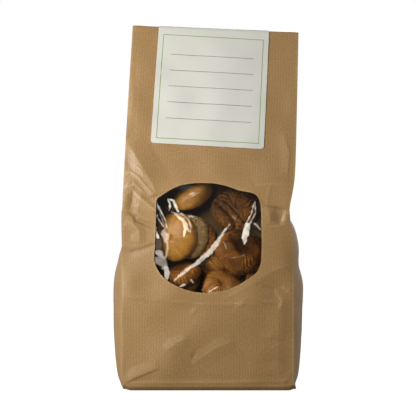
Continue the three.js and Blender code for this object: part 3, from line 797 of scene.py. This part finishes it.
def fig_shape(look, radius, half, fuller, unit, rng):
    """Places of a dried fig from a unit sphere, how far each stands out of its pleats as painted shade that
    also darkens crumples and folds, with the darker eye, and its streaks.
    """
    height = unit[:, 2]
    ring = np.hypot(unit[:, 0], unit[:, 1])
    angle = np.arctan2(unit[:, 1], unit[:, 0])
    turn = np.stack([np.cos(angle), np.sin(angle)], axis=1)
    flat = 0.5 - 0.5 * np.cos(angle - fuller)
    wide = radius * ring * (1 - FLAT_SIDE * flat)
    crown = np.sign(height) * np.abs(height) ** CROWN
    eye_radius, eye_depth = look["eye"]
    near = hump(wide, eye_radius * MM)
    pole = np.where(height > 0, -eye_depth * near, STEM_RISE * (1 - near)) * MM
    rise = half * crown + pole * np.abs(crown)
    places = np.stack([wide * turn[:, 0], wide * turn[:, 1], rise], axis=1)
    normal = np.stack([places[:, 0] / radius**2, places[:, 1] / radius**2, rise / half**2], axis=1)
    normal /= np.maximum(np.linalg.norm(normal, axis=1, keepdims=True), 1e-9)

    bent = angle + look["twist"] * height + 0.16 * ripples(turn, 0.9, rng)
    bent += 0.05 * ripples(unit, 0.5, rng) + 0.02 * ripples(unit, 0.2, rng)
    rib = np.abs(np.sin(look["pleats"] * bent / 2)) ** 0.6
    strength = np.clip(0.75 + 0.4 * ripples(unit, 0.8, rng), 0.15, 1.2)
    small = np.abs(np.sin(0.83 * look["pleats"] * bent + 0.5 * ripples(unit, 0.3, rng))) ** 0.7
    body = clamp((ring - POLE_BARE) / 0.3)
    wrinkle = clamp(np.abs(ripples(unit, 0.22, rng, 14))) ** 0.7
    relief = -look["depth"] * (1 - rib) * strength * body - look["fine"] * (1 - small) * body
    relief += look["lumps"] * (ripples(unit, 0.7, rng) - LUMP_SINK) - look["crumple"] * (1 - wrinkle)

    facing = clamp(height * 3)
    hollow = np.zeros(len(unit))
    for across, up, wide_share, depth in look.get("dents", ()):
        away = np.hypot(places[:, 0] / radius - across, places[:, 1] / radius - up) / wide_share
        hollow += depth * facing * np.exp(-(away**4))
    for way, offset, wide_share, depth in look.get("folds", ()):
        away = (places[:, 0] * -math.sin(way) + places[:, 1] * math.cos(way)) / radius - offset
        away = (away + 0.05 * ripples(unit, 0.6, rng)) / wide_share
        hollow += depth * facing * (hump(away, 1) - 0.35 * hump(away - 1.6, 1))
    places += normal * ((relief - hollow) * MM)[:, None]
    # Painted shade: the skin darkens down the pleats, in crumples and in folds; the eye is darker in its
    # own colour.
    pleat_shade_and_dark_eye = 1 - look["lines"] * (1 - clamp(0.65 * rib * strength + 0.35 * small)) * body
    pleat_shade_and_dark_eye -= 0.5 * look["crumple"] * (1 - wrinkle) + 0.12 * np.maximum(hollow, 0)
    pleat_shade_and_dark_eye -= 0.5 * near * (height > 0)
    streak = np.stack([turn[:, 0], turn[:, 1], 0.10 * height], axis=1) * radius / STREAK_WIDTH
    return places, clamp(pleat_shade_and_dark_eye), streak


def build_fig(name, faces, look, material, slot, seed):
    rng = np.random.default_rng(seed)
    centre, axes, radius, half, fuller = fig_form(name)
    sphere = bpy.ops.mesh.primitive_uv_sphere_add
    piece = add_primitive(name + "_skin", sphere, segments=faces[0], ring_count=faces[1], radius=1)
    places, shown, streak = fig_shape(look, radius, half, fuller, places_of(piece), rng)
    # Gain on the skin colour: partly each fig's own tone, partly painted light lifting figs in shade, with
    # a painted ramp of light and shade across some.
    way_x, way_z, low, high = look.get("painted_shading_ramp", (0, 0, 1, 1))
    share = clamp(0.5 + 0.5 * (places @ axes @ (way_x, 0, way_z)) / radius)
    set_places(piece, places @ axes + centre)
    # How dark the skin is painted: shade in pleats, crumples and folds, and the darker eye.
    set_attribute(piece, "rib", shown)
    set_attribute(piece, "shade", look["shade"] * (low + (high - low) * share))
    set_attribute(piece, "streak", streak)
    finish_piece(piece, material, slot, name, angle=180)


def fig_slots():
    """Material slot of each fig, from the record."""
    parts = frame["record"]["subparts"]
    return {part["node"]: part["material_slot"] for part in parts if part["node"].startswith("fig_")}


def fig_materials(colours):
    """One skin for each slot, made once."""
    made = {}
    for tone, look in SKIN_LOOKS.items():
        known = bpy.data.materials.get(f"dried_fig_skin_{tone}")
        made["fig_" + tone] = known or fig_material(tone, getattr(colours, tone), **look)
    return made


# Operators


class FIGBAG_OT_paper_bag(bpy.types.Operator):
    """Models the creased paper bag with its window cut out"""

    bl_idname = "figbag.paper_bag"
    bl_label = "Paper Bag"

    def execute(self, context):
        bag = context.scene.fig_bag
        columns, rows = self.columns(bag), self.rows(bag)
        across, up = len(columns["share"]) - 1, len(rows["wall"]) - 1
        piece = add_grid("kraft_bag", across, up)
        flat = places_of(piece)
        column = np.rint((flat[:, 0] + 0.5) * across).astype(int)
        row = np.rint((flat[:, 1] + 0.5) * up).astype(int)
        places, wear = self.shape(
            bag, {k: v[column] for k, v in columns.items()}, {k: v[row] for k, v in rows.items()}
        )
        set_places(piece, places)
        set_map(piece, "sheet", np.stack([columns["around"][column], rows["up"][row]], axis=1))
        set_attribute(piece, "wear", wear)
        in_edit_mode(piece, (bpy.ops.mesh.remove_doubles, {"threshold": 1e-6}))
        modify(piece, "SOLIDIFY", thickness=bag.paper, offset=-1, use_even_offset=False)
        cutter = self.cutter()
        modify(piece, "BOOLEAN", object=cutter, operation="DIFFERENCE", solver="MANIFOLD")
        bpy.data.objects.remove(cutter)
        finish_piece(piece, kraft_material(context.scene.fig_bag_colours), "kraft_paper", "paper_bag")
        return {"FINISHED"}

    @staticmethod
    def columns(bag):
        """Panel, share across it and distance round the bag for each column of the sheet."""
        counts = (FRONT_COLUMNS, SIDE_COLUMNS, BACK_COLUMNS, SIDE_COLUMNS)
        widths = (bag.width, bag.depth, bag.width, bag.depth)
        made, start = [], 0.0
        for panel, (count, wide) in enumerate(zip(counts, widths)):
            steps = np.arange(count) / count
            if panel == 0:
                steps = np.interp(steps, (0, FINE_COLUMNS[0], 1), (0, FINE_COLUMNS[1], 1))
            made.append((np.full(count, panel), 2 * steps - 1, start + wide * steps))
            start += wide
        made.append(([3], [1.0], [start]))
        return dict(zip(("panel", "share", "around"), map(np.concatenate, zip(*made))))

    @staticmethod
    def rows(bag):
        """From the middle of the base up the walls, over the fold and down the flap."""
        top = bag.height - FOLD_RISE * MM
        rolled = np.linspace(0, 1, ROLL_ROWS + 1) ** 1.2 * EDGE_ROLL * MM
        starts = (EDGE_ROLL, *[height for height, _ in ROW_BANDS])
        bands = [np.linspace(low, high, count + 1)[1:] for low, (high, count) in zip(starts, ROW_BANDS)]
        climbed = np.concatenate(bands) * MM
        turns = np.linspace(0, np.pi, FOLD_ROWS + 1)[1:]
        drops = np.linspace(top, bag.height - bag.flap, FLAP_ROWS + 1)[1:]
        base = np.zeros(len(BASE_RINGS))
        walls = np.concatenate([base, rolled, climbed])
        outer, inner = mouth_paths(bag, turns, drops)
        wall = np.concatenate([walls, np.full(FOLD_ROWS, top), drops])
        counts = (len(base), FOLD_ROWS, FLAP_ROWS)
        laid, folded, hung = (np.full(count, step * MM) for count, step in zip(counts, SHEET_STEPS))
        steps = np.concatenate([laid, np.diff(walls[len(base) - 1 :]), folded, hung])
        return {
            "wall": wall,
            "ring": np.concatenate([BASE_RINGS, np.ones(len(wall) - len(base))]),
            "front_y": np.concatenate([-half_depth(bag, walls), outer[0]]),
            "front_z": np.concatenate([walls, outer[1]]),
            "back_y": np.concatenate([half_depth(bag, walls), inner[0]]),
            "back_z": np.concatenate([walls, inner[1]]),
            "up": np.cumsum(steps),
            "hung": np.concatenate([np.zeros(len(walls)), np.ones(FOLD_ROWS + FLAP_ROWS)]),
        }

    @staticmethod
    def shape(bag, column, row):
        """Places of the sheet's vertices, and how worn each is by the creases, below nought for painted
        shade in their valleys.
        """
        panel, share, wall = column["panel"], column["share"], row["wall"]
        side = bag.width / 2
        front, right, back, left = (panel == i for i in range(4))
        deep = np.where(right, (1 + share) / 2, np.where(left, (1 - share) / 2, back.astype(float)))
        y = row["front_y"] + (row["back_y"] - row["front_y"]) * deep
        z = row["front_z"] + (row["back_z"] - row["front_z"]) * deep
        swell = front_swell(bag, wall) * (1 - share**2)
        y += np.where(back, swell, np.where(front, -swell, 0))
        fold = side_fold(bag, wall) * (1 - np.abs(share))
        middle, spread, deepest = SIDE_DENT
        dent = deepest * MM * hump(wall / MM - middle, spread)
        right_x = side + (side_swell(bag, wall, RIGHT_SIDE) - dent) * (1 - share**2) - fold
        left_x = -side - side_swell(bag, wall, LEFT_SIDE) * (1 - share**2) + fold
        x = np.select([front, right, back], [side * share, right_x, -side * share], left_x)
        tucked = clamp(1 - wall / (EDGE_ROLL * MM)) ** EDGE_CURVE * MM
        corner = np.where(x > 0, RIGHT_CORNER, LEFT_CORNER)
        x *= (1 - corner * tucked / side) * row["ring"]
        y *= (1 - EDGE_INSET * tucked / (bag.depth / 2)) * row["ring"]
        span = np.where(front | back, bag.width / 2, bag.depth / 2) / MM
        lift = CORNER_LIFT * clamp((np.abs(share) * span - span + CORNER_REACH) / CORNER_REACH) ** 2
        z += lift * clamp(1 - wall / (3 * EDGE_ROLL * MM)) * row["ring"] ** 8 * MM
        places = leaned(bag, x, y, z)

        across, up, deep_mm = places[:, 0] / MM, places[:, 2] / MM, places[:, 1] / MM
        rng = np.random.default_rng(WALL_SEED)
        room = relief_room(bag, wall) * clamp(wall / (8 * MM))
        room *= (row["hung"] == 0) * edge_fade(share, EDGE_REACH)
        relief, wear = front_relief(across, up)
        back_relief, back_wear_and_shade = creased(across, up, loose_creases(rng, *LOOSE_BACK))
        seam = SEAM_STEP * clamp((SEAM_HALF - np.abs(across - SEAM_PLACE)) / 0.8)
        back_relief = BACK_RISE + LOOSE_GAIN * back_relief + seam
        back_relief += 0.7 * ripples(np.stack([across, up], axis=1), 38, rng)
        side_relief, side_wear_and_shade = creased(deep_mm, up, loose_creases(rng, *LOOSE_SIDES))
        side_relief = SIDE_RISE + LOOSE_GAIN * side_relief + 0.7 * np.exp(-np.abs(deep_mm) / 2)
        side_relief += 0.6 * ripples(np.stack([deep_mm, up], axis=1), 30, rng)
        places[:, 1] += room * MM * np.where(back, back_relief, np.where(front, -relief, 0))
        places[:, 0] += room * MM * np.where(right, side_relief, np.where(left, -side_relief, 0))
        # Crests of creases give real wear; valleys, below nought, give painted shade.
        paper_marks = np.where(front, wear, np.where(back, back_wear_and_shade, side_wear_and_shade)) * room
        crease = hump((1 - np.abs(share)) * np.where(front | back, 70, 37), 1.2)
        hem = hump(wall / MM - EDGE_ROLL, 1.0) * (row["hung"] == 0)
        near = front & (np.abs(across) < NEAR_WINDOW[0]) & (np.abs(up - WINDOW_MIDDLE) < NEAR_WINDOW[1])
        rim, _ = from_polyline(across[near], up[near], (*WINDOW_OUTLINE, WINDOW_OUTLINE[0]))
        cut = np.zeros(len(places))
        cut[near] = hump(rim, 0.9)
        edges = [share * mark for share, mark in zip(RUBBED, (crease, hem, cut))]
        rubbed = np.maximum.reduce([paper_marks, *edges])
        return places, np.clip(np.where(paper_marks < -0.05, paper_marks, rubbed), -1, 1)

    @staticmethod
    def cutter():
        """A block with the window's outline, standing in the front of the bag."""
        points = np.array(WINDOW_OUTLINE)
        before, after, later = (np.roll(points, -i, axis=0) for i in (-1, 1, 2))
        bend = 2 * before - 5 * points + 4 * after - later
        twist = 3 * points - before - 3 * after + later
        quarters = (0, 0.25, 0.5, 0.75)
        smooth = [0.5 * (2 * points + (after - before) * t + bend * t**2 + twist * t**3) for t in quarters]
        outline = np.stack(smooth, axis=1).reshape(-1, 2)
        circle = bpy.ops.mesh.primitive_circle_add
        piece = add_primitive("window_cutter", circle, vertices=len(outline), fill_type="NGON")
        start, reach = CUTTER_DEEP
        places = np.stack([outline[:, 0], np.full(len(outline), start), outline[:, 1]], axis=1) * MM
        set_places(piece, places)
        extrude = {"TRANSFORM_OT_translate": {"value": (0, reach * MM, 0)}}
        in_edit_mode(
            piece,
            (bpy.ops.mesh.extrude_region_move, extrude),
            (bpy.ops.mesh.select_all, {"action": "SELECT"}),
            (bpy.ops.mesh.normals_make_consistent, {"inside": False}),
        )
        return piece


class FIGBAG_OT_window_film(bpy.types.Operator):
    """Models the crinkled clear film behind the window"""

    bl_idname = "figbag.window_film"
    bl_label = "Window Film"

    def execute(self, context):
        bag = context.scene.fig_bag
        piece = add_grid("window_film_sheet", FILM_GRID, FILM_GRID)
        flat = places_of(piece) + 0.5
        x = (FILM_ACROSS[0] + (FILM_ACROSS[1] - FILM_ACROSS[0]) * flat[:, 0]) * MM
        z = (FILM_UP[0] + (FILM_UP[1] - FILM_UP[0]) * flat[:, 1]) * MM
        y = -half_depth(bag, z) - front_swell(bag, z) * (1 - (2 * x / bag.width) ** 2)
        places = leaned(bag, x, y, z)
        across, up = places[:, 0] / MM, places[:, 2] / MM
        relief, _ = front_relief(across, up)
        crease = self.creases(across, up)
        spots = np.stack([across, up], axis=1)
        lift = FILM_LIFT * crease + 0.08 * ripples(spots, 9, np.random.default_rng(FILM_SEEDS[0]))
        inside = clamp((FILM_FREE[0] - np.abs(across)) / 3)
        inside *= clamp((FILM_FREE[1] - np.abs(up - WINDOW_MIDDLE)) / 4)
        places[:, 1] -= (relief + lift * inside - FILM_GAP) * MM - bag.paper
        set_places(piece, places)
        set_attribute(piece, "crease", crease)
        modify(piece, "SOLIDIFY", thickness=bag.film, offset=-1)
        finish_piece(piece, film_material(), "clear_film", "window_film", angle=12)
        return {"FINISHED"}

    @staticmethod
    def creases(across, up):
        """How brightly each place shines as a painted highlight on the flat of a crease, with ragged edges.
        """
        total = np.zeros(across.shape)
        spots = np.stack([across, up], axis=1)
        ragged = 0.22 * ripples(spots, 2.2, np.random.default_rng(FILM_SEEDS[1]))
        for bright, points in FILM_CREASES:
            line = np.array(points)
            run = np.concatenate([[0], np.cumsum(np.linalg.norm(np.diff(line[:, :2], axis=0), axis=1))])
            away, share = from_polyline(across, up, line[:, :2])
            wide = np.interp(share, run / run[-1], line[:, 2])
            shine = bright * clamp((wide / 2 - np.abs(away) + ragged) / 0.5 + 0.5)
            total = np.maximum(total, shine)
        uneven = ripples(spots, 3.2, np.random.default_rng(FILM_SEEDS[2]))
        return total * np.clip(0.9 + 0.2 * uneven, 0.4, 1)


class FIGBAG_OT_label(bpy.types.Operator):
    """Models the label that runs over the folded mouth"""

    bl_idname = "figbag.label"
    bl_label = "Label"

    def execute(self, context):
        bag = context.scene.fig_bag
        top = bag.height - FOLD_RISE * MM
        climbed = np.linspace(bag.label_low - LABEL_SPARE, top, 120)
        drops = np.linspace(top, bag.label_back - LABEL_SPARE, 60)[1:]
        outer, _ = mouth_paths(bag, np.linspace(0, np.pi, 25)[1:], drops)
        path = np.concatenate([np.stack([-half_depth(bag, climbed), climbed]), outer], axis=1)
        gone = np.concatenate([[0], np.cumsum(np.linalg.norm(np.diff(path, axis=1), axis=0))])
        slope = np.gradient(path, axis=1)
        slope /= np.linalg.norm(slope, axis=0)
        start = np.interp(bag.label_low, climbed, gone[: len(climbed)])
        run = gone[-1] - LABEL_SPARE - start

        piece = add_grid("plain_label", *LABEL_GRID)
        flat = places_of(piece)
        half = bag.label_width / 2
        sheet = self.rounded(flat[:, 0] * bag.label_width, (flat[:, 1] + 0.5) * run, half, run)
        cos, sin = math.cos(bag.label_turn), math.sin(bag.label_turn)
        x = sheet[:, 0] * cos - sheet[:, 1] * sin + bag.label_shift
        along = start + sheet[:, 1] * cos + sheet[:, 0] * sin
        y, z, way_y, way_z = (np.interp(along, gone, values) for values in (*path, *slope))
        lift = LABEL_GAP * MM + bag.label_ply
        swell = np.where(y < 0, front_swell(bag, z) * (1 - (2 * x / bag.width) ** 2), 0)
        places = leaned(bag, x, y - swell - way_z * lift, z + way_y * lift)
        relief, _ = front_relief(places[:, 0] / MM, places[:, 2] / MM)
        room = relief_room(bag, z) * (y < 0)
        places[:, 1] -= relief * room * MM
        set_places(piece, places)
        set_map(piece, "sheet", sheet)
        modify(piece, "SOLIDIFY", thickness=bag.label_ply, offset=-1)
        finish_piece(piece, label_material(bag, context.scene.fig_bag_colours), "label_paper", "label")
        return {"FINISHED"}

    @staticmethod
    def rounded(x, up, half, run):
        """Rounds the corners of a flat sheet."""
        corner = LABEL_CORNER * MM
        p = clamp((np.abs(x) - half + corner) / corner)
        q = clamp((np.abs(up - run / 2) - run / 2 + corner) / corner)
        pull = np.maximum(p, q) / np.maximum(np.hypot(p, q), 1e-9)
        pull = np.where((p > 0) & (q > 0), pull, 1)
        x = np.sign(x) * (np.abs(x) - p * corner * (1 - pull))
        up = up - np.sign(up - run / 2) * q * corner * (1 - pull)
        return np.stack([x, up], axis=1)


class FIGBAG_OT_window_figs(bpy.types.Operator):
    """Models the figs that show in the window, each with its own wrinkles"""

    bl_idname = "figbag.window_figs"
    bl_label = "Window Figs"

    def execute(self, context):
        skins = fig_materials(context.scene.fig_bag_colours)
        slots = fig_slots()
        for seed, (name, values) in enumerate(FIG_TABLE.items(), SHOWN_SEED):
            look = dict(zip(LOOK_PARTS, values), **FIG_EXTRAS.get(name, {}))
            build_fig(name, SHOWN_FACES, look, skins[slots[name]], slots[name], seed)
        return {"FINISHED"}


class FIGBAG_OT_hidden_figs(bpy.types.Operator):
    """Models the rest of the figs, which fill the bag"""

    bl_idname = "figbag.hidden_figs"
    bl_label = "Hidden Figs"

    def execute(self, context):
        skins = fig_materials(context.scene.fig_bag_colours)
        for seed, (name, slot) in enumerate(sorted(fig_slots().items()), HIDDEN_SEED):
            if name not in FIG_TABLE:
                build_fig(name, HIDDEN_FACES, HIDDEN_LOOK, skins[slot], slot, seed)
        return {"FINISHED"}


class FIGBAG_OT_studio(bpy.types.Operator):
    """Sets up the floor, the soft lights and the camera"""

    bl_idname = "figbag.studio"
    bl_label = "Studio"

    def execute(self, context):
        scene = context.scene
        studio = scene.fig_bag_studio
        circle = bpy.ops.mesh.primitive_circle_add
        floor = add_primitive("studio_floor", circle, vertices=96, radius=FLOOR_RADIUS, fill_type="NGON")
        floor.data.materials.append(stage_material("white_studio_floor", scene.fig_bag_colours.floor))
        floor.visible_glossy = False
        for name, (place, wide, high) in SOFTBOXES.items():
            box = {"shape": "RECTANGLE", "size": wide, "size_y": high, "energy": getattr(studio, name)}
            self.light("AREA", f"{name}_softbox", place, LIGHT_AIM, **box)
        cone = {"spot_size": SNOOT_ANGLE, "spot_blend": 0.6, "shadow_soft_size": 0.03}
        snoot = self.light("SPOT", "window_snoot", SNOOT_PLACE, WINDOW_AIM, energy=studio.window, **cone)
        snoot.visible_glossy = False
        self.room(scene, studio.room, studio.glow)
        aim = Vector((0, 0, studio.aim))
        bpy.ops.object.camera_add()
        camera = context.object
        back = Vector((0, -math.cos(studio.elevation), math.sin(studio.elevation)))
        camera.location = aim + studio.distance * back
        look_at(camera, aim)
        camera.data.sensor_width = SENSOR
        camera.data.lens = studio.lens
        scene.camera = camera
        scene.view_settings.view_transform = "Standard"
        return {"FINISHED"}

    @staticmethod
    def light(kind, name, place, aim, **settings):
        """Adds a lamp that shines at a point."""
        bpy.ops.object.light_add(type=kind, location=place)
        lamp = bpy.context.object
        lamp.name = name
        for setting, value in settings.items():
            setattr(lamp.data, setting, value)
        look_at(lamp, aim)
        return lamp

    @staticmethod
    def room(scene, ahead, behind):
        """Dim light from in front and more from behind and above, seen by the camera as white."""
        world = bpy.data.worlds.new("white_room")
        world.use_nodes = True
        world.node_tree.nodes.clear()
        node = partial(add_node, world.node_tree)
        path = node("LightPath", out="Is Camera Ray")
        way = node("TexCoord", out="Generated")
        _, deep, up = node("SeparateXYZ", (way,), None)
        glow = node("MapRange", (deep, 0.0, 0.5, ahead, behind))
        above = node("MapRange", (up, -0.3, 0.3, 0.3, 1.0))
        strength = node("Math", (glow, above), operation="MULTIPLY")
        dim = node("Background", {"Color": (1, 1, 1, 1), "Strength": strength})
        seen = node("Background", {"Color": (1, 1, 1, 1), "Strength": 1.0})
        mixed = node("MixShader", (path, dim, seen))
        node("OutputWorld", {"Surface": mixed}, None)
        scene.world = world


class FIGBAG_PT_panel(bpy.types.Panel):
    """Lists the pieces of the bag and the sizes and colours they are made from"""

    bl_idname = "FIGBAG_PT_panel"
    bl_label = "Bag of Dried Figs"
    bl_space_type = "VIEW_3D"
    bl_region_type = "UI"
    bl_category = "Fig Bag"

    def draw(self, context):
        for operator in OPERATORS:
            self.layout.operator(operator.bl_idname)
        for name in GROUPS:
            box = self.layout.box()
            group = getattr(context.scene, name)
            for value in group.__annotations__:
                box.prop(group, value)


OPERATORS = (
    FIGBAG_OT_paper_bag,
    FIGBAG_OT_window_film,
    FIGBAG_OT_label,
    FIGBAG_OT_window_figs,
    FIGBAG_OT_hidden_figs,
    FIGBAG_OT_studio,
)
GROUPS = {"fig_bag": BagSizes, "fig_bag_colours": BagColours, "fig_bag_studio": StudioSizes}
CLASSES = (*GROUPS.values(), *OPERATORS, FIGBAG_PT_panel)


def register():
    for cls in CLASSES:
        bpy.utils.register_class(cls)
    for name, group in GROUPS.items():
        setattr(bpy.types.Scene, name, PointerProperty(type=group))


def unregister():
    for name in GROUPS:
        delattr(bpy.types.Scene, name)
    for cls in reversed(CLASSES):
        bpy.utils.unregister_class(cls)


def main():
    register()
    bpy.ops.figbag.paper_bag()
    bpy.ops.figbag.window_film()
    bpy.ops.figbag.label()
    bpy.ops.figbag.window_figs()
    bpy.ops.figbag.hidden_figs()
    bpy.ops.figbag.studio()


if __name__ == "__main__":
    main()
